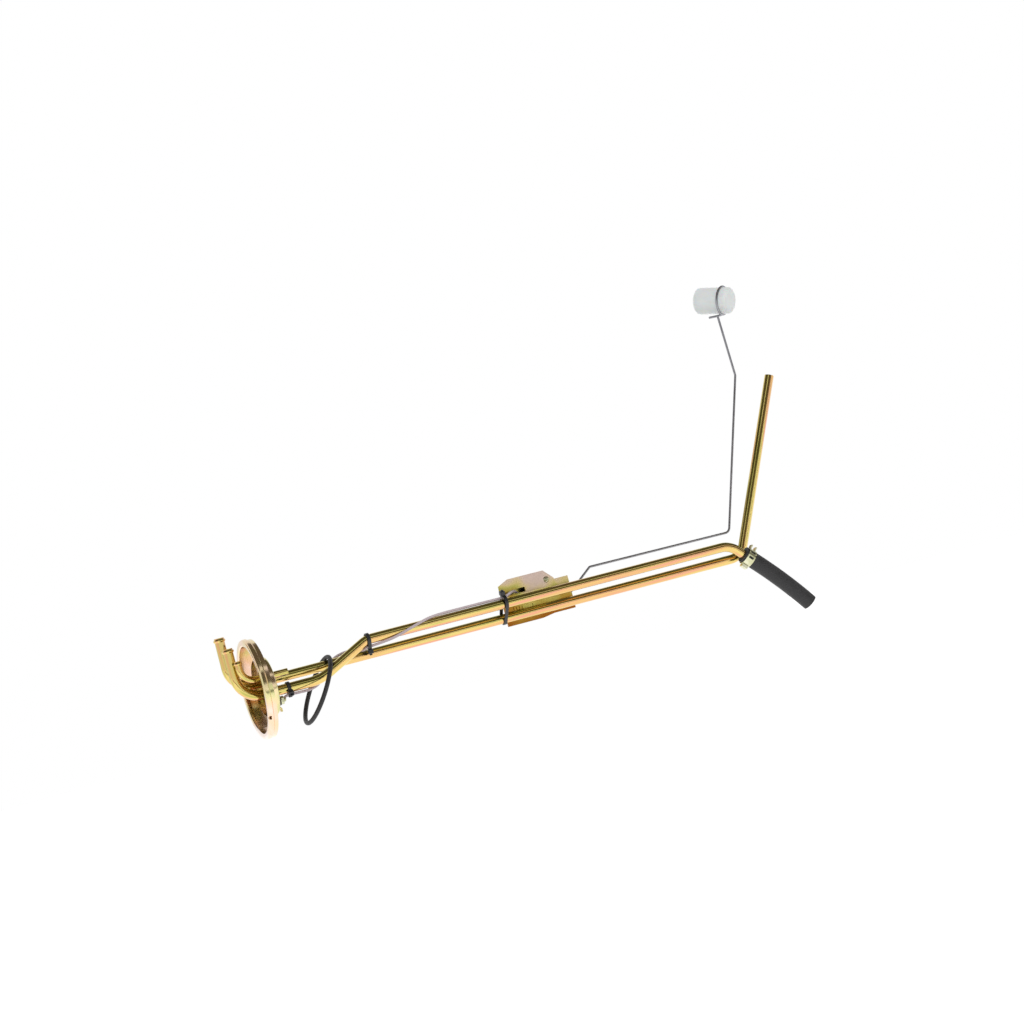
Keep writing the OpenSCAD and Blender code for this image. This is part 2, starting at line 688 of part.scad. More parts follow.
// A point beside a tie, shifted along the lead by dx and up by dz
function beside(x, at, dx, dz) = [x + dx, at[0], at[1] + dz];
lead_end = [card_x - contact_l - 0.05, card_y + contact_d / 2, contact_z + contact_h / 2];
lead_route = [[barrel_x, stud_y + tongue_l + 0.5, stud_z], [barrel_x + 0.2, -3.2, stud_z],
    [15, -4.2, -14.9], beside(tie_1_x, tie_1_lead, -2.7, -0.1), beside(tie_1_x, tie_1_lead, 2.7, 0),
    [33, -6.6, -12.7], [44, -4.5, -12.6], [54, 0.5, -9.8], [62, 9, -3.8], [70, 15.6, 3],
    [78, 14.9, 9.7], [88, 9, 12.8], [98, 2, 12], [103, -3.2, 10.4],
    beside(tie_2_x, tie_2_lead, -2.6, -0.5), beside(tie_2_x, tie_2_lead, 2.6, 0.25),
    wound(121, 12), wound(132, 40), wound(142, 66), wound(152, 92), wound(162, 118),
    wound(174, 148), wound(188, 168), wound(206, 173), wound(228, 176), [tie_3_x, tie_3_lead[0], tie_3_lead[1]],
    [plate_x, supply_y + 0.4, tie_3_lead[1] + 1.1], [plate_x + 4.6, supply_y + 3.4, ledge_z + 3.9],
    [plate_x + 9.6, 4, ledge_z + 4.6], [plate_x + 13.6, plate_y - 2.7, ledge_z + 4.7],
    [plate_x + 16.5, plate_y + 1.9, ledge_z + 4.5], lead_end + [-4.4, 0.5, 3.9],
    lead_end + [-2.9, 1, 1.6], lead_end + [-1.6, 0.2, 0.1], lead_end];
lead_steps = 3;
// A smooth curve through the route's points
function spline(p, i, t) =
    let (a = p[max(0, i - 1)], b = p[i], c = p[i + 1], d = p[min(len(p) - 1, i + 2)])
    0.5 * (2 * b + (c - a) * t + (2 * a - 5 * b + 4 * c - d) * t * t + (3 * b - a - 3 * c + d) * t * t * t);
function smooth(p, n) = concat(
    [for (i = [0 : len(p) - 2]) for (k = [0 : n - 1]) spline(p, i, k / n)], [p[len(p) - 1]]);
// A cord of radius r through points q, with eight sides
module cord(q, r) {
    m = len(q);
    s = 8;
    tangents = [for (i = [0 : m - 1]) unit(q[min(m - 1, i + 1)] - q[max(0, i - 1)])];
    sides = [for (t = tangents) unit(cross(t, [0, 0, 1]))];
    rings = [for (i = [0 : m - 1]) for (k = [0 : s - 1])
        q[i] + r * (cos(360 * k / s) * sides[i] + sin(360 * k / s) * cross(sides[i], tangents[i]))];
    walls = [for (i = [0 : m - 2]) for (k = [0 : s - 1])
        [i * s + k, i * s + (k + 1) % s, (i + 1) * s + (k + 1) % s, (i + 1) * s + k]];
    polyhedron(rings, concat([[for (k = [s - 1 : -1 : 0]) k]], walls,
        [[for (k = [0 : s - 1]) (m - 1) * s + k]]));
}
module lead() color(lead_colour) cord(smooth(lead_route, lead_steps), lead_r);

flange();
braze_rings();
return_tube();
supply_tube();
vent_tube();
terminal_insulator();
terminal_stud();
terminal_nuts();
lead_terminal();
ground_tab();
lead();
cable_tie_1();
cable_tie_2();
cable_tie_3();
seal_ring();
sender_bracket();
rheostat_housing();
rheostat_cover();
housing_rivets();
resistor_card();
resistor_track();
card_contact();
pivot_bush();
pivot_shaft();
wiper();
float_arm();
arm_clip();
float();
float_cap();
pickup_hose();
hose_clamp();
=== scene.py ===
"""Looks of a fuel level sender: chromated tubes and flange, a rheostat, and a float on a wire arm.

Sizes are in millimetres, as in the part's source, and become metres where a mesh is made.
+X runs into the tank, +Z is the side of the hose ports, and the origin is the centre of the
flange's seating face.
"""

from __future__ import annotations

import logging
import math
from dataclasses import dataclass, field
from enum import Enum
from typing import ClassVar

import bpy
import numpy as np
from mathutils import Matrix

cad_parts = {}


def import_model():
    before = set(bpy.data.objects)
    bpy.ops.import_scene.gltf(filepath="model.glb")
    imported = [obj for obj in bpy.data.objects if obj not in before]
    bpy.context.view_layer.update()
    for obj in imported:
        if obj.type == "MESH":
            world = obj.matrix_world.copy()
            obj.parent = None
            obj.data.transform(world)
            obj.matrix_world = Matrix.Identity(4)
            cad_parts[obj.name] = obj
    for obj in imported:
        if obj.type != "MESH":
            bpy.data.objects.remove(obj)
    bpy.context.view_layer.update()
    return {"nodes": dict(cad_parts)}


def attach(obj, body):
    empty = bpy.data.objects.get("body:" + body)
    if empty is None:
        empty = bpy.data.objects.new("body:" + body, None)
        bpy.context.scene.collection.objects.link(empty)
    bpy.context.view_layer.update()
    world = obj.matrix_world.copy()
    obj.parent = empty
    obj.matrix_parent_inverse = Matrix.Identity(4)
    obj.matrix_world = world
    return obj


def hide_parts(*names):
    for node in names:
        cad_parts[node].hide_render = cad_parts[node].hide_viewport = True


LOG = logging.getLogger("fuel_sender")
MM = 0.001
GRAIN = "grain"
SENDER = "sender"
Array = np.ndarray
Vector = tuple[float, float, float]
Colour = tuple[float, float, float]

# Noise and bump of every finish
BROAD_DETAIL = 3.0
FINE_DETAIL = 2.0
DISTORTION = 0.5
BUMP_HEIGHT = 0.0002
COAT_ROUGHNESS = 0.12
MILK_DEPTH = 0.006
# Length of a swept piece, in mm, for each unit of its grain
GRAIN_LENGTH = 160.0
# Edges sharper than these stay sharp, in degrees
SWEPT_EDGE = 34
CAD_EDGE = 30


class Pattern(Enum):
    """What a finish's pattern follows."""

    BLOCK = "object coordinates"
    GRAIN = "the grain attribute, which runs round and along a swept piece"


@dataclass(frozen=True)
class Finish:
    """A procedural finish: a mottled colour, a roughness that varies, and a fine bump.

    The colour is a ramp over noise. For GRAIN the noise runs in long streaks along the
    piece. A drift moves the tint along a direction of the pattern's coordinates; it paints
    light and shade into the colour, so one side or end is paler and the other darker.
    """

    name: str
    slot: str
    stops: tuple[tuple[float, Colour], ...]
    metallic: float = 0.0
    rough: tuple[float, float] = (0.3, 0.4)
    blotches: float = 30.0
    fine: float = 900.0
    bump: float = 0.05
    pattern: Pattern = Pattern.BLOCK
    # Painted light and shade: a tint gradient by position or by facing
    drift: Vector = (0.0, 0.0, 0.0)
    offset: float = 0.0
    coat: float = 0.0
    milky: float = 0.0

    def make(self) -> bpy.types.Material:
        """Builds the node tree.

        Returns:
            The material.
        """
        material = bpy.data.materials.new(self.name)
        material.use_nodes = True
        tree = material.node_tree
        shader = tree.nodes["Principled BSDF"]
        shader.inputs["Metallic"].default_value = self.metallic
        shader.inputs["Coat Weight"].default_value = self.coat
        shader.inputs["Coat Roughness"].default_value = COAT_ROUGHNESS
        shader.inputs["Subsurface Weight"].default_value = self.milky
        shader.inputs["Subsurface Scale"].default_value = MILK_DEPTH
        place = self._place(tree)
        broad = self._noise(tree, place, self.blotches, BROAD_DETAIL)
        # Random mottle plus the drift's painted light and shade
        tint = self._drifted(tree, place, broad.outputs["Fac"])
        ramp = tree.nodes.new("ShaderNodeValToRGB")
        ramp.color_ramp.interpolation = "B_SPLINE"
        while len(ramp.color_ramp.elements) < len(self.stops):
            ramp.color_ramp.elements.new(0.5)
        for element, (at, colour) in zip(ramp.color_ramp.elements, self.stops):
            element.position = at
            element.color = (*colour, 1.0)
        tree.links.new(tint, ramp.inputs["Fac"])
        tree.links.new(ramp.outputs["Color"], shader.inputs["Base Color"])
        fine = self._noise(tree, self._object(tree), self.fine, FINE_DETAIL)
        rough = tree.nodes.new("ShaderNodeMapRange")
        rough.inputs["To Min"].default_value = self.rough[0]
        rough.inputs["To Max"].default_value = self.rough[1]
        tree.links.new(broad.outputs["Fac"], rough.inputs["Value"])
        tree.links.new(rough.outputs["Result"], shader.inputs["Roughness"])
        bump = tree.nodes.new("ShaderNodeBump")
        bump.inputs["Strength"].default_value = self.bump
        bump.inputs["Distance"].default_value = BUMP_HEIGHT
        tree.links.new(fine.outputs["Fac"], bump.inputs["Height"])
        tree.links.new(bump.outputs["Normal"], shader.inputs["Normal"])
        return material

    def _object(self, tree: bpy.types.NodeTree) -> bpy.types.NodeSocket:
        """Object coordinates.

        Args:
            tree: the material's tree.

        Returns:
            Their socket.
        """
        return tree.nodes.new("ShaderNodeTexCoord").outputs["Object"]

    def _place(self, tree: bpy.types.NodeTree) -> bpy.types.NodeSocket:
        """The coordinates that the blotches follow.

        Args:
            tree: the material's tree.

        Returns:
            Their socket.
        """
        if self.pattern is Pattern.BLOCK:
            return self._object(tree)
        grain = tree.nodes.new("ShaderNodeAttribute")
        grain.attribute_name = GRAIN
        return grain.outputs["Vector"]

    def _noise(
        self, tree: bpy.types.NodeTree, place: bpy.types.NodeSocket, scale: float, detail: float
    ) -> bpy.types.Node:
        """A noise texture.

        Args:
            tree: the material's tree.
            place: where the noise is read.
            scale: its number of cells for each unit.
            detail: how many finer layers it has.

        Returns:
            The texture node.
        """
        noise = tree.nodes.new("ShaderNodeTexNoise")
        noise.inputs["Scale"].default_value = scale
        noise.inputs["Detail"].default_value = detail
        noise.inputs["Distortion"].default_value = DISTORTION
        tree.links.new(place, noise.inputs["Vector"])
        return noise

    def _drifted(
        self, tree: bpy.types.NodeTree, place: bpy.types.NodeSocket, noise: bpy.types.NodeSocket
    ) -> bpy.types.NodeSocket:
        """The noise plus the drift, which is a dot product with the place and paints light and
        shade into the tint.

        Args:
            tree: the material's tree.
            place: the pattern's coordinates.
            noise: the broad noise.

        Returns:
            noise + drift . place + offset.
        """
        dot = tree.nodes.new("ShaderNodeVectorMath")
        dot.operation = "DOT_PRODUCT"
        dot.inputs[1].default_value = self.drift
        shift = tree.nodes.new("ShaderNodeMath")
        shift.inputs[1].default_value = self.offset
        add = tree.nodes.new("ShaderNodeMath")
        tree.links.new(place, dot.inputs[0])
        tree.links.new(dot.outputs["Value"], shift.inputs[0])
        tree.links.new(shift.outputs["Value"], add.inputs[0])
        tree.links.new(noise, add.inputs[1])
        return add.outputs["Value"]


# Tints of chromated zinc, from its darkest streaks to its palest faces
BROWN: Colour = (0.22, 0.09, 0.025)
OLIVE: Colour = (0.20, 0.16, 0.025)
LIME: Colour = (0.44, 0.45, 0.11)
STRAW: Colour = (0.72, 0.56, 0.20)
GOLD: Colour = (0.68, 0.44, 0.15)
ROSE: Colour = (0.70, 0.33, 0.22)
BLUSH: Colour = (0.72, 0.56, 0.49)
CHROMATE = ((0.28, OLIVE), (0.39, LIME), (0.48, STRAW), (0.57, GOLD), (0.68, ROSE))

CHROMATED_PLATE = Finish(
    "chromated_plate", "zinc", CHROMATE, metallic=1.0, rough=(0.15, 0.28), blotches=26.0, bump=0.05
)
# Its own chromate tints, mottled at random, plus painted light: the drift along X makes the front
# face (-X) paler, towards pinkish white as a painted highlight, and the cup further into the tank
# darker olive as painted shade.
FLANGE_CHROMATE_AND_PAINTED_LIGHT = Finish(
    "flange_chromate_and_painted_light", "zinc",
    ((0.2, (0.40, 0.38, 0.14)), (0.34, (0.60, 0.60, 0.28)), (0.45, (0.78, 0.62, 0.36)),
     (0.58, (0.82, 0.58, 0.44)), (0.72, (0.86, 0.77, 0.71))),
    metallic=1.0, rough=(0.12, 0.24), blotches=34.0, bump=0.04, drift=(-9.0, 0.0, 0.0),
    offset=-0.02,
)
# Its own chromate tints plus painted light: the drift, mostly along Z, paints the bracket, housing
# and cover dark rust low down as painted shade and reflection, and pale straw to blush at the top
# as a painted lit face.
BRACKET_CHROMATE_AND_PAINTED_LIGHT = Finish(
    "bracket_chromate_and_painted_light", "zinc",
    ((0.1, (0.34, 0.12, 0.015)), (0.3, (0.42, 0.24, 0.03)), (0.46, LIME), (0.58, STRAW),
     (0.74, BLUSH)),
    metallic=1.0, rough=(0.2, 0.34), blotches=30.0, bump=0.05, drift=(1.6, 0.0, 16.0),
    offset=-0.86,
)
# Chromate tints in random streaks plus painted reflection: the drift on the upward facing part of
# the grain makes the tops of the tubes darker olive and their undersides rosier.
TUBE_CHROMATE_AND_PAINTED_REFLECTION = Finish(
    "tube_chromate_and_painted_reflection", "zinc",
    ((0.28, BROWN), (0.38, LIME), (0.48, STRAW), (0.57, GOLD), (0.68, ROSE)),
    metallic=1.0, rough=(0.1, 0.18), blotches=1.3, fine=260.0, bump=0.01, pattern=Pattern.GRAIN,
    drift=(0.0, -0.1, 0.0),
)
PALE_ZINC = Finish(
    "pale_zinc", "pale_zinc", ((0.3, (0.46, 0.46, 0.24)), (0.7, (0.74, 0.73, 0.56))), metallic=1.0,
    rough=(0.2, 0.34), blotches=90.0,
)
BRIGHT_WIRE = Finish(
    "bright_wire", "steel", ((0.3, (0.24, 0.24, 0.26)), (0.7, (0.38, 0.38, 0.41))), metallic=0.9,
    rough=(0.3, 0.42), blotches=60.0, bump=0.0,
)
RUBBER = Finish(
    "black_rubber", "rubber", ((0.3, (0.014, 0.014, 0.015)), (0.7, (0.034, 0.033, 0.035))),
    rough=(0.5, 0.68), blotches=240.0, fine=2600.0, bump=0.35,
)
NYLON = Finish(
    "black_nylon", "nylon", ((0.3, (0.010, 0.010, 0.011)), (0.7, (0.022, 0.022, 0.025))),
    rough=(0.3, 0.45), blotches=120.0, bump=0.12,
)
MILKY = Finish(
    "milky_plastic", "float_white", ((0.3, (0.86, 0.86, 0.86)), (0.7, (0.93, 0.93, 0.92))),
    rough=(0.34, 0.46), blotches=60.0, bump=0.1, coat=0.15, milky=0.15,
)
INSULATION = Finish(
    "lead_insulation", "lead", ((0.3, (0.50, 0.40, 0.42)), (0.7, (0.68, 0.58, 0.60))),
    rough=(0.34, 0.48), blotches=3.0, fine=300.0, bump=0.02, pattern=Pattern.GRAIN,
)
PHENOLIC = Finish(
    "phenolic_board", "board", ((0.3, (0.30, 0.17, 0.07)), (0.7, (0.46, 0.29, 0.14))),
    rough=(0.4, 0.55), blotches=160.0, bump=0.2,
)


def unit(v: Array) -> Array:
    """Scales vectors to length 1.

    Args:
        v: vectors along the last axis.

    Returns:
        Their directions.
    """
    return v / np.linalg.norm(v, axis=-1, keepdims=True)


@dataclass
class Track:
    """Stations along a line: points, headings, and the length from the start, in mm."""

    points: Array
    headings: Array
    lengths: Array

    STEP: ClassVar[float] = 6.0
    END_REACH: ClassVar[float] = 6.0
    END_STEP: ClassVar[float] = 0.3
    BEND_STATIONS: ClassVar[int] = 4
    BEND_DEGREES: ClassVar[int] = 4

    @classmethod
    def through(cls, points: Array) -> "Track":
        """A track whose heading at a point runs from the point before it to the one after.

        Args:
            points: the stations, n by 3.

        Returns:
            The track.
        """
        steps = np.linalg.norm(np.diff(points, axis=0), axis=1)
        lengths = np.concatenate([[0.0], np.cumsum(steps)])
        return cls(points, unit(np.gradient(points, axis=0)), lengths)

    @classmethod
    def bent(cls, corners: list[list[float]], radii: tuple[float, ...]) -> "Track":
        """Straight legs and round bends, as a tube bender makes them.

        A bend of radius r that turns by t starts r * tan(t / 2) before its corner, and its
        points are start + r * (sin(a) * heading + (1 - cos(a)) * side) for a from 0 to t.

        Args:
            corners: the ends and the corners between them.
            radii: one for each inner corner.

        Returns:
            The track.
        """
        p = np.array(corners, float)
        ways = unit(np.diff(p, axis=0))
        runs, here = [], p[0]
        for i, r in enumerate(radii):
            before, after = ways[i], ways[i + 1]
            turn = math.acos(float(np.clip(before @ after, -1.0, 1.0)))
            start = p[i + 1] - before * r * math.tan(turn / 2)
            side = unit(after - before * (before @ after))
            count = cls.BEND_STATIONS + int(math.degrees(turn) / cls.BEND_DEGREES)
            a = np.linspace(0.0, turn, count)[:, None]
            arc = start + r * (np.sin(a) * before + (1 - np.cos(a)) * side)
            runs += [cls._leg(here, start), arc]
            here = arc[-1]
        runs.append(cls._leg(here, p[-1]))
        return cls.through(np.vstack([runs[0]] + [run[1:] for run in runs[1:]]))

    @classmethod
    def _leg(cls, a: Array, b: Array) -> Array:
        """Even stations on a straight leg, with close ones at both ends for beads and rims.

        Args:
            a: the leg's start.
            b: its end.

        Returns:
            The stations.
        """
        length = float(np.linalg.norm(b - a))
        near = np.arange(0.0, min(cls.END_REACH, length / 2), cls.END_STEP)
        middle = np.arange(cls.END_REACH, length - cls.END_REACH, cls.STEP)
        at = np.concatenate([near, middle, length - near[::-1]])
        return a + (b - a) * (at / length)[:, None]

    @classmethod
    def spline(cls, route: Array, steps: int = 8) -> "Track":
        """A Catmull-Rom curve: it passes each point along the chord of its neighbours.

        Args:
            route: the points that it passes.
            steps: stations for each stretch.

        Returns:
            The track.
        """
        p = np.vstack([route[:1], route, route[-1:]])
        a, b, c, d = (p[i : len(p) - 3 + i, None, :] for i in range(4))
        t = np.linspace(0.0, 1.0, steps, endpoint=False)[None, :, None]
        square, cube = 2 * a - 5 * b + 4 * c - d, 3 * b - a - 3 * c + d
        curve = 0.5 * (2 * b + (c - a) * t + square * t**2 + cube * t**3)
        return cls.through(np.vstack([curve.reshape(-1, 3), route[-1:]]))

    def frames(self, side: Array) -> tuple[Array, Array]:
        """Two directions square to the heading at each station.

        Args:
            side: a direction that no heading runs along.

        Returns:
            The side direction, and heading x side.
        """
        across = unit(side - self.headings * (self.headings @ side)[:, None])
        return across, np.cross(self.headings, across)


@dataclass
class Piece:
    """A mesh from a grid of points, n rows of m points round, with a grain for streaks."""

    name: str
    finish: Finish
    body: str = SENDER
    stands_for: tuple[str, ...] = ()

    def skin(self, grid: Array, grain: Array | None = None, loop: bool = False) -> bpy.types.Object:
        """Makes the object from one grid or several of the same size.

        Each point joins the next round its row and the same point in the next row. The
        first and last rows are capped unless the rows loop.

        Args:
            grid: k by n by m by 3, or n by m by 3, in mm.
            grain: a vector for each point, or None.
            loop: whether the last row joins the first.

        Returns:
            The object, riding on its body.
        """
        grid = grid[None] if grid.ndim == 3 else grid
        k, n, m, _ = grid.shape
        ids = np.arange(k * n * m).reshape(k, n, m)
        rows = ids if loop else ids[:, :-1]
        ahead = np.roll(ids, -1, axis=1) if loop else ids[:, 1:]
        quads = np.stack(
            [rows, ahead, np.roll(ahead, -1, axis=2), np.roll(rows, -1, axis=2)], axis=-1)
        faces = quads.reshape(-1, 4).tolist()
        if not loop:
            faces += ids[:, 0].tolist() + ids[:, -1, ::-1].tolist()
        mesh = bpy.data.meshes.new(self.name)
        mesh.from_pydata((grid.reshape(-1, 3) * MM).tolist(), [], faces)
        if grain is not None:
            layer = mesh.attributes.new(GRAIN, "FLOAT_VECTOR", "POINT")
            layer.data.foreach_set("vector", grain.reshape(-1).astype(np.float32))
        mesh.validate()
        mesh.shade_smooth()
        mesh.set_sharp_from_angle(angle=math.radians(SWEPT_EDGE))
        piece = bpy.data.objects.new(self.name, mesh)
        bpy.context.scene.collection.objects.link(piece)
        piece.data.materials.append(Finishes.of(self.finish))
        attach(piece, self.body)
        if self.stands_for:
            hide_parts(*self.stands_for)
        LOG.info("%s: %d points, %d faces", self.name, len(mesh.vertices), len(mesh.polygons))
        return piece

    def sweep(self, track: Track, outer: Array, inner: Array | None = None, sides: int = 32,
              side: Vector = (0.0, 1.0, 0.0)) -> bpy.types.Object:
        """A round skin along a track: point = station + r * (cos(a) * across + sin(a) * up).

        With an inner radius the rows run out along the outside and back along the bore.

        Args:
            track: the stations.
            outer: the outer radius at each station.
            inner: the bore's radius at each station, or None for a solid rod.
            sides: points round.
            side: the direction that the angle starts from.

        Returns:
            The object.
        """
        across, up = track.frames(np.array(side))
        turn = np.linspace(0.0, 2 * np.pi, sides, endpoint=False)[None, :, None]
        ring = np.cos(turn) * across[:, None] + np.sin(turn) * up[:, None]
        grid = track.points[:, None] + outer[:, None, None] * ring
        along = np.broadcast_to(track.lengths[:, None, None] / GRAIN_LENGTH, (*grid.shape[:2], 1))
        # The grain's first two parts are the way the surface faces round the piece; a drift on them
        # paints light and shade by facing, as on the tubes.
        grain = np.concatenate([ring[..., 1:2], ring[..., 2:3], along], axis=2)
        if inner is None:
            return self.skin(grid, grain)
        bore = (track.points[:, None] + inner[:, None, None] * ring)[::-1]
        return self.skin(np.vstack([grid, bore]), np.vstack([grain, grain[::-1]]), loop=True)


class Finishes:
    """Makes each finish's material once."""

    made: dict[str, bpy.types.Material] = {}

    @classmethod
    def of(cls, finish: Finish) -> bpy.types.Material:
        """The material of a finish.

        Args:
            finish: the finish.

        Returns:
            Its material, the same one each time.
        """
        if finish.name not in cls.made:
            cls.made[finish.name] = finish.make()
        return cls.made[finish.name]


@dataclass
class FuelTubes:
    """The supply, return and vent tubes, with beads at their ports and open bores."""

    outer: float = 4.75
    wall: float = 0.9
    sides: int = 40
    bead_h: float = 1.0
    bead_r: float = 1.6
    bead_drop: float = 2.6
    run_l: float = 519.0
    return_port: Vector = (-26.1, 8.0, 55.0)
    return_z: float = 5.3
    return_bends: tuple[float, ...] = (20.0, 20.0)
    upright_angle: float = 64.0
    upright_l: float = 194.5
    supply_port: Vector = (-24.0, -6.4, 43.0)
    supply_z: float = -6.2
    run_z: float = 19.2
    low_corner_x: float = 55.5
    high_corner_x: float = 108.3
    dip_before_corner: float = 16.7
    dip_angle: float = 44.0
    dip_l: float = 37.5
    supply_bends: tuple[float, ...] = (22.0, 45.0, 25.0, 25.0)
    vent_outer: float = 3.15
    vent_wall: float = 0.8
    vent_port: Vector = (-19.6, -15.5, 29.5)
    vent_z: float = 9.1
    vent_end_x: float = 24.0
    vent_bends: tuple[float, ...] = (13.0,)

    def _radius(self, track: Track, outer: float) -> Array:
        """The outer radius: the tube's own, raised by a round bead near the start.

        Args:
            track: the tube's stations.
            outer: the tube's own radius.

        Returns:
            A radius for each station.
        """
        off = np.clip(track.lengths - self.bead_drop, -self.bead_r, self.bead_r)
        bead = outer + self.bead_h - self.bead_r + np.sqrt(self.bead_r**2 - off**2)
        return np.maximum(outer, bead)

    def _tube(self, name: str, track: Track, outer: float, wall: float) -> None:
        """One beaded tube in place of its CAD node.

        Args:
            name: the CAD node.
            track: the tube's stations, from its port.
            outer: its outer radius.
            wall: its wall.
        """
        bore = np.full(len(track.lengths), outer - wall)
        Piece(f"{name}_look", TUBE_CHROMATE_AND_PAINTED_REFLECTION, stands_for=(name,)).sweep(
            track, self._radius(track, outer), bore, sides=self.sides)

    def _return(self) -> Track:
        """From the port down, along the run, and up the upright leg.

        Returns:
            The return tube's stations.
        """
        x, y, _ = self.return_port
        z, angle, length = self.return_z, math.radians(self.upright_angle), self.upright_l
        top = [self.run_l + math.cos(angle) * length, y, z + math.sin(angle) * length]
        return Track.bent([list(self.return_port), [x, y, z], [self.run_l, y, z], top],
                          self.return_bends)

    def _supply(self) -> Track:
        """From the port down, along low, up to the high run, and down to the hose.

        Returns:
            The supply tube's stations.
        """
        x, y, _ = self.supply_port
        low, high, dip = self.supply_z, self.run_z, math.radians(self.dip_angle)
        corner = self.run_l - self.dip_before_corner
        end = [corner + math.cos(dip) * self.dip_l, y, high - math.sin(dip) * self.dip_l]
        return Track.bent(
            [list(self.supply_port), [x, y, low], [self.low_corner_x, y, low],
             [self.high_corner_x, y, high], [corner, y, high], end], self.supply_bends)

    def _vent(self) -> Track:
        """From the port down, and through the flange.

        Returns:
            The vent tube's stations.
        """
        x, y, _ = self.vent_port
        return Track.bent([list(self.vent_port), [x, y, self.vent_z],
                           [self.vent_end_x, y, self.vent_z]], self.vent_bends)

    def build(self) -> None:
        """Makes the three tubes."""
        self._tube("return_tube", self._return(), self.outer, self.wall)
        self._tube("supply_tube", self._supply(), self.outer, self.wall)
        self._tube("vent_tube", self._vent(), self.vent_outer, self.vent_wall)


@dataclass
class LeadWire:
    """The insulated lead from the terminal to the card, tied along the tubes.

    winds holds X and the angle round the supply tube, from below it over its front.
    """

    radius: float = 1.3
    sides: int = 18
    seam: Vector = (-0.577, 0.577, 0.577)
    supply_y: float = -6.4
    run_z: float = 19.2
    orbit: float = 6.35
    start: list[list[float]] = field(default_factory=lambda: [
        [12.1, -7.0, -15.5], [12.3, -3.2, -15.5], [15.0, -4.2, -14.9], [20.3, -7.4, -12.55],
        [25.7, -7.4, -12.45], [33.0, -6.6, -12.7], [44.0, -4.5, -12.6], [54.0, 0.5, -9.8],
        [62.0, 9.0, -3.8], [70.0, 15.6, 3.0], [78.0, 14.9, 9.7], [88.0, 9.0, 12.8],
        [98.0, 2.0, 12.0], [103.0, -3.2, 10.4], [106.4, -5.9, 11.45], [111.6, -5.9, 12.2]])
    winds: list[list[float]] = field(default_factory=lambda: [
        [121.0, 12.0], [132.0, 40.0], [142.0, 66.0], [152.0, 92.0], [162.0, 118.0], [174.0, 148.0],
        [188.0, 168.0], [206.0, 173.0], [228.0, 176.0]])
    end: list[list[float]] = field(default_factory=lambda: [
        [252.0, -6.4, 25.45], [256.6, -6.0, 26.55], [261.2, -3.0, 27.85], [266.2, 4.0, 28.55],
        [270.2, 10.05, 28.65], [273.1, 14.65, 28.45], [275.15, 17.65, 27.5], [276.65, 18.15, 25.2],
        [277.95, 17.35, 23.7], [279.55, 17.15, 23.6]])

    def build(self) -> None:
        """A round cord on a smooth curve, which winds half round the supply tube."""
        wind = np.array(self.winds)
        a = np.radians(wind[:, 1])
        wound = np.stack([wind[:, 0], self.supply_y - self.orbit * np.sin(a),
                          self.run_z - self.orbit * np.cos(a)], axis=1)
        track = Track.spline(np.vstack([self.start, wound, self.end]))
        Piece("lead_look", INSULATION, stands_for=("lead",)).sweep(
            track, np.full(len(track.lengths), self.radius), sides=self.sides, side=self.seam)
        LOG.info("lead length %.0f mm", track.lengths[-1])


@dataclass(frozen=True)
class Tie:
    """Where one tie sits: the two circles that its strap goes round, as Y, Z and radius."""

    name: str
    x: float
    first: Vector
    second: Vector
    head: Vector
    tilt: float


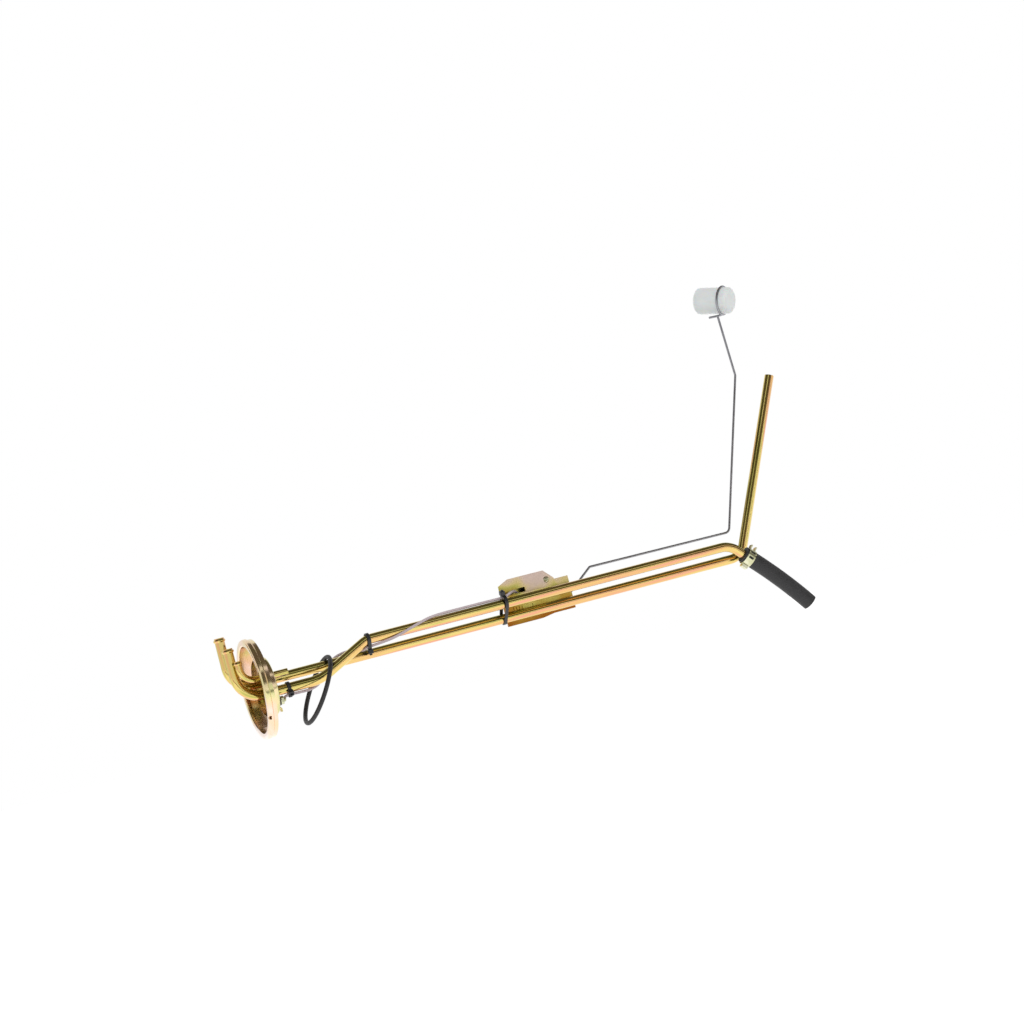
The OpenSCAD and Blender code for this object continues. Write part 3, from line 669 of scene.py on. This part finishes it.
@dataclass
class CableTies:
    """Three nylon ties: a strap with rounded edges, a ratchet head, and a cut tail."""

    width: float = 3.4
    thick: float = 1.2
    hair: float = 0.1
    chamfer: float = 0.3
    arc_points: int = 40
    head_size: Vector = (5.0, 5.0, 4.4)
    head_lift: float = 2.2
    tail_narrower: float = 0.8
    tail_h: float = 2.2
    tail_lift: float = 4.8
    tail_back: float = -0.6
    ties: tuple[Tie, ...] = (
        Tie("cable_tie_1", 23.0, (-6.4, -6.2, 4.75), (-7.4, -12.45, 1.4),
            (23.0, -11.16, -9.77), 127),
        Tie("cable_tie_2", 109.0, (-6.4, 18.8, 5.15), (-5.9, 11.95, 1.7),
            (109.0, -5.9, 9.55), 180),
        Tie("cable_tie_3", 252.0, (-6.4, 20.5, 6.25), (8.0, 5.3, 4.75),
            (251.0, -8.4, 27.65), 20),
    )

    def _belt(self, first: Vector, second: Vector) -> tuple[Array, Array]:
        """A belt round two circles, a hair off them.

        Its tangent points stand at acos((ra - rb) / distance) either side of the line of
        centres.

        Args:
            first: Y, Z and radius of one circle.
            second: the same of the other.

        Returns:
            Points on the belt, and its outward directions.
        """
        a, b, n = np.array(first[:2]), np.array(second[:2]), self.arc_points
        ra, rb = first[2] + self.hair, second[2] + self.hair
        line = b - a
        way, far = math.atan2(line[1], line[0]), float(np.hypot(*line))
        half = math.acos((ra - rb) / far)
        angle = np.concatenate([np.linspace(way - half, way + half, n),
                                np.linspace(way + half, way + 2 * np.pi - half, n)])
        out = np.stack([np.cos(angle), np.sin(angle)], axis=1)
        centre = np.repeat([b, a], n, axis=0)
        return centre + out * np.repeat([rb, ra], n)[:, None], out

    def _strap(self, tie: Tie) -> Array:
        """A rounded section of eight points, carried round the belt.

        Args:
            tie: the tie.

        Returns:
            The strap's grid.
        """
        belt, out = self._belt(tie.first, tie.second)
        w, t, c = self.width / 2, self.thick, self.chamfer
        section = np.array([[-w, c], [-w + c, 0], [w - c, 0], [w, c],
                            [w, t - c], [w - c, t], [-w + c, t], [-w, t - c]])
        places = belt[:, None] + out[:, None] * section[None, :, 1:2]
        across = np.broadcast_to(tie.x + section[None, :, :1], (len(belt), len(section), 1))
        return np.concatenate([across, places], axis=2)

    @staticmethod
    def rounded_box(size: Vector, n: int = 24, power: float = 0.22, pole: float = 0.497) -> Array:
        """A box with round edges: each sine and cosine of a sphere is raised to a small power.

        Args:
            size: the three lengths.
            n: points round, and rows from pole to pole.
            power: 1 is an ellipsoid, and near 0 a sharp box.
            pole: where the rows end, as a share of pi. 0.5 is the pole itself.

        Returns:
            A grid of points about the origin, open at its poles by a hair.
        """
        tilt = np.linspace(-pole * np.pi, pole * np.pi, n)[:, None]
        turn = np.linspace(0, 2 * np.pi, n, endpoint=False)[None, :]

        def raised(v: Array) -> Array:
            """Raises v to the power and keeps its sign."""
            return np.sign(v) * np.abs(v) ** power

        x = raised(np.cos(tilt)) * raised(np.cos(turn)) * size[0] / 2
        y = raised(np.cos(tilt)) * raised(np.sin(turn)) * size[1] / 2
        z = raised(np.sin(tilt)) * np.ones_like(turn) * size[2] / 2
        return np.stack([x, y, z], axis=2)

    def _block(self, name: str, tie: Tie, size: Vector, back: float, lift: float) -> None:
        """A rounded block on a tie's head, turned about X.

        Args:
            name: the piece's name.
            tie: the tie.
            size: the block's lengths.
            back: its shift along Y before the turn.
            lift: its shift along Z before the turn.
        """
        a = math.radians(tie.tilt)
        turn = np.array(
            [[1, 0, 0], [0, math.cos(a), -math.sin(a)], [0, math.sin(a), math.cos(a)]])
        grid = self.rounded_box(size) + np.array([0, back, lift])
        Piece(name, NYLON).skin(grid @ turn.T + np.array(tie.head))

    def build(self) -> None:
        """Makes the three ties in place of their CAD nodes."""
        tail_size = (self.width - self.tail_narrower, self.thick, self.tail_h)
        for tie in self.ties:
            strap = Piece(f"{tie.name}_strap", NYLON, stands_for=(tie.name,))
            strap.skin(self._strap(tie), loop=True)
            self._block(f"{tie.name}_head", tie, self.head_size, 0.0, self.head_lift)
            self._block(f"{tie.name}_tail", tie, tail_size, self.tail_back, self.tail_lift)


@dataclass
class Terminal:
    """The stud with its rolled thread."""

    radius: float = 2.0
    pitch: float = 0.7
    depth: float = 0.28
    start: float = -3.0
    end: float = 16.3
    y: float = -14.5
    z: float = -15.5
    chamfer: float = 0.6
    tip: float = 0.8
    rows: int = 240
    sides: int = 28

    def build(self) -> None:
        """A threaded rod: the radius falls by a wave of the height less the share of a turn."""
        x = np.linspace(self.start, self.end, self.rows)[:, None]
        turn = np.linspace(0, 2 * np.pi, self.sides, endpoint=False)[None, :]
        wave = 0.5 - 0.5 * np.cos(2 * np.pi * (x / self.pitch - turn / (2 * np.pi)))
        ends = np.clip(np.minimum(x - self.start, self.end - x) / self.chamfer, 0.0, 1.0)
        r = (self.radius - self.depth * wave) * (self.tip + (1 - self.tip) * ends)
        y, z = self.y + r * np.cos(turn), self.z + r * np.sin(turn)
        Piece("terminal_stud_look", PALE_ZINC, stands_for=("terminal_stud",)).skin(
            np.stack([x + 0 * turn, y, z], axis=2))


@dataclass
class Welds:
    """Short rippled welds that hold the bracket to the tubes.

    spots holds each weld's start X, length, Y and Z.
    """

    radius: float = 1.15
    ripple: float = 1.5
    swell: float = 0.13
    rows: int = 60
    sides: int = 20
    spots: tuple[tuple[float, float, float, float], ...] = (
        (259.0, 9.0, 11.9, 8.3), (300.0, 11.0, 11.9, 8.3), (262.0, 8.0, 12.0, 2.2),
        (287.0, 10.0, 12.0, 2.2), (262.0, 9.0, -3.4, 23.4), (290.0, 9.0, -3.4, 23.4),
    )

    def build(self) -> None:
        """Each weld is a rod whose radius swells once a ripple and closes at its ends."""
        for i, (x, length, y, z) in enumerate(self.spots):
            s = np.linspace(0.0, length, self.rows)
            points = np.stack([x + s, np.full(self.rows, y), np.full(self.rows, z)], axis=1)
            ends = np.sqrt(np.clip(1 - (2 * s / length - 1) ** 6, 0.01, 1))
            r = self.radius * ends * (1 + self.swell * np.abs(np.sin(np.pi * s / self.ripple)))
            weld = Piece(f"weld_{i + 1}", CHROMATED_PLATE)
            weld.sweep(Track.through(points), r, sides=self.sides)


@dataclass
class CadFinishes:
    """Finishes for the CAD nodes that show as they are."""

    join_within: float = 1e-6
    by_node: dict[str, Finish] = field(default_factory=lambda: {
        "flange": FLANGE_CHROMATE_AND_PAINTED_LIGHT, "braze_rings": CHROMATED_PLATE, "ground_tab": CHROMATED_PLATE,
        "sender_bracket": BRACKET_CHROMATE_AND_PAINTED_LIGHT, "rheostat_housing": BRACKET_CHROMATE_AND_PAINTED_LIGHT,
        "rheostat_cover": BRACKET_CHROMATE_AND_PAINTED_LIGHT, "terminal_nuts": PALE_ZINC, "lead_terminal": PALE_ZINC,
        "card_contact": PALE_ZINC, "wiper": PALE_ZINC, "hose_clamp": PALE_ZINC,
        "housing_rivets": PALE_ZINC, "resistor_track": BRIGHT_WIRE, "pivot_shaft": BRIGHT_WIRE,
        "float_arm": BRIGHT_WIRE, "arm_clip": BRIGHT_WIRE, "seal_ring": RUBBER,
        "pickup_hose": RUBBER,
        "terminal_insulator": NYLON, "pivot_bush": NYLON, "resistor_card": PHENOLIC,
        "float": MILKY, "float_cap": MILKY})

    def dress(self, nodes: dict[str, bpy.types.Object]) -> None:
        """Gives each node its finish, joins its loose triangles, and smooths its round faces.

        Args:
            nodes: the CAD nodes by name.
        """
        for name, finish in self.by_node.items():
            node = nodes[name]
            node.data.materials.clear()
            node.data.materials.append(Finishes.of(finish))
            node.data.shade_smooth()
            weld = node.modifiers.new("join", "WELD")
            weld.merge_threshold = self.join_within
            split = node.modifiers.new("edges", "EDGE_SPLIT")
            split.split_angle = math.radians(CAD_EDGE)
            split.use_edge_sharp = False
            LOG.info("%s dressed as %s", name, finish.name)


@dataclass(frozen=True)
class SoftBox:
    """A square lamp: where it hangs and its side, in mm and m, and its power in watts."""

    name: str
    place: Vector
    side: float
    power: float


@dataclass
class Studio:
    """Floor, world, lamps, dark flags and the camera of the photograph.

    Each flag is a strip along X between two edges, which are given as Y and Z.
    """

    floor_z: float = -300.0
    floor_reach: float = 9000.0
    floor_glow: float = 0.7
    centre: Vector = (-436.20, -1921.86, 6.53)
    focal_px: float = 2089.64
    photo_px: int = 1024
    sensor: float = 36.0
    right: Vector = (0.9099, -0.3289, -0.2529)
    down: Vector = (-0.2207, 0.1323, -0.9663)
    forward: Vector = (0.3513, 0.9350, 0.0478)
    aim: Vector = (280.0, 0.0, 60.0)
    flag_ends: tuple[float, float] = (-3200.0, 3800.0)
    flag_glow: Colour = (0.13, 0.11, 0.08)
    flag_edges: tuple[tuple[tuple[float, float], tuple[float, float]], ...] = (
        ((-2300.0, 300.0), (-1750.0, 1300.0)),
        ((-1400.0, 1500.0), (900.0, 1300.0)),
        ((-1500.0, -240.0), (-1150.0, -290.0)),
    )
    soft_boxes: tuple[SoftBox, ...] = (
        SoftBox("key", (-600.0, -1300.0, 1500.0), 1.4, 9.0),
        SoftBox("fill", (1300.0, -1100.0, 700.0), 1.6, 4.0),
        SoftBox("back", (300.0, 1500.0, 1300.0), 1.6, 5.0),
    )

    @staticmethod
    def _placed(axes: Array, place: Vector) -> Matrix:
        """A world matrix from three columns and a place.

        Args:
            axes: the columns of the turn.
            place: where it stands, in mm.

        Returns:
            The matrix, in metres.
        """
        world = np.eye(4)
        world[:3, :3] = axes
        world[:3, 3] = np.array(place) * MM
        return Matrix(world.tolist())

    def camera(self) -> None:
        """The camera: its columns are right, up and back, made square to each other."""
        data = bpy.data.cameras.new("camera")
        data.sensor_width = self.sensor
        data.lens = self.focal_px / self.photo_px * self.sensor
        data.clip_end = 50.0
        camera = bpy.data.objects.new("camera", data)
        bpy.context.scene.collection.objects.link(camera)
        axes = np.stack([self.right, -np.array(self.down), -np.array(self.forward)], axis=1)
        u, _, v = np.linalg.svd(axes)
        camera.matrix_world = self._placed(u @ v, self.centre)
        bpy.context.scene.camera = camera

    def _seen(self, tree: bpy.types.NodeTree) -> bpy.types.NodeSocket:
        """1 for camera, glossy and transmission rays, which see the white background.

        Args:
            tree: the tree that asks.

        Returns:
            The value's socket.
        """
        rays = tree.nodes.new("ShaderNodeLightPath")
        total = rays.outputs["Is Camera Ray"]
        for name in ("Is Glossy Ray", "Is Transmission Ray"):
            add = tree.nodes.new("ShaderNodeMath")
            add.operation = "ADD"
            add.use_clamp = True
            tree.links.new(total, add.inputs[0])
            tree.links.new(rays.outputs[name], add.inputs[1])
            total = add.outputs["Value"]
        return total

    def world(self, fill: float = 0.55) -> None:
        """A white world that lights the object at a lower level than it is seen.

        Args:
            fill: its strength for all other rays.
        """
        world = bpy.data.worlds.new("studio")
        bpy.context.scene.world = world
        world.use_nodes = True
        tree = world.node_tree
        background = tree.nodes["Background"]
        background.inputs["Color"].default_value = (1.0, 1.0, 1.0, 1.0)
        level = tree.nodes.new("ShaderNodeMapRange")
        level.inputs["To Min"].default_value = fill
        level.inputs["To Max"].default_value = 1.0
        tree.links.new(self._seen(tree), level.inputs["Value"])
        tree.links.new(level.outputs["Result"], background.inputs["Strength"])

    def _sheet(self, name: str, corners: Array, material: bpy.types.Material) -> bpy.types.Object:
        """A flat stage sheet.

        Args:
            name: its name.
            corners: its four corners, in mm.
            material: its material.

        Returns:
            The sheet.
        """
        mesh = bpy.data.meshes.new(name)
        mesh.from_pydata((corners * MM).tolist(), [], [(0, 1, 2, 3)])
        sheet = bpy.data.objects.new(name, mesh)
        bpy.context.scene.collection.objects.link(sheet)
        sheet.data.materials.append(material)
        return sheet

    def _matt(self, name: str, base: Colour, glow: Colour) -> bpy.types.Material:
        """A material without gloss.

        Args:
            name: its name.
            base: its colour under light.
            glow: the colour that it emits.

        Returns:
            The material.
        """
        material = bpy.data.materials.new(name)
        material.use_nodes = True
        shader = material.node_tree.nodes["Principled BSDF"]
        shader.inputs["Base Color"].default_value = (*base, 1.0)
        shader.inputs["Roughness"].default_value = 1.0
        shader.inputs["Specular IOR Level"].default_value = 0.0
        shader.inputs["Emission Color"].default_value = (*glow, 1.0)
        shader.inputs["Emission Strength"].default_value = 1.0
        return material

    def floor(self) -> None:
        """A pale floor that keeps the object's shadow and glows a little for the camera."""
        material = self._matt("pale_floor", (0.9, 0.9, 0.9), (1.0, 1.0, 1.0))
        tree = material.node_tree
        level = tree.nodes.new("ShaderNodeMapRange")
        level.inputs["To Max"].default_value = self.floor_glow
        tree.links.new(self._seen(tree), level.inputs["Value"])
        tree.links.new(level.outputs["Result"],
                       tree.nodes["Principled BSDF"].inputs["Emission Strength"])
        s, z = self.floor_reach, self.floor_z
        self._sheet("floor", np.array([[-s, -s, z], [s, -s, z], [s, s, z], [-s, s, z]]), material)

    def flags(self) -> None:
        """Dark flags that only reflections see. They draw the dark bands along bright tubes."""
        material = self._matt("flag", (0.0, 0.0, 0.0), self.flag_glow)
        left, right = self.flag_ends
        for i, (low, high) in enumerate(self.flag_edges):
            corners = np.array([[left, *low], [right, *low], [right, *high], [left, *high]])
            flag = self._sheet(f"flag_{i + 1}", corners, material)
            flag.visible_camera = False
            flag.visible_diffuse = False
            flag.visible_shadow = False
            flag.visible_transmission = False

    def lamps(self) -> None:
        """Three soft boxes, which reflections don't see. Each looks at the object's middle."""
        for box in self.soft_boxes:
            data = bpy.data.lights.new(box.name, "AREA")
            data.size = box.side
            data.energy = box.power
            lamp = bpy.data.objects.new(box.name, data)
            bpy.context.scene.collection.objects.link(lamp)
            lamp.visible_glossy = False
            back = unit(np.array(box.place) - np.array(self.aim))
            right = unit(np.cross([0.0, 0.0, 1.0], back))
            axes = np.stack([right, np.cross(back, right), back], axis=1)
            lamp.matrix_world = self._placed(axes, box.place)

    def build(self) -> None:
        """Sets the whole studio."""
        bpy.context.scene.view_settings.view_transform = "Standard"
        self.camera()
        self.world()
        self.floor()
        self.flags()
        self.lamps()


def main() -> None:
    """Builds the studio and every sub-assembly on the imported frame."""
    logging.basicConfig(level=logging.INFO, format="%(name)s %(message)s")
    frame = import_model()
    Studio().build()
    FuelTubes().build()
    LeadWire().build()
    CableTies().build()
    Terminal().build()
    Welds().build()
    CadFinishes().dress(frame["nodes"])


if __name__ == "__main__":
    main()
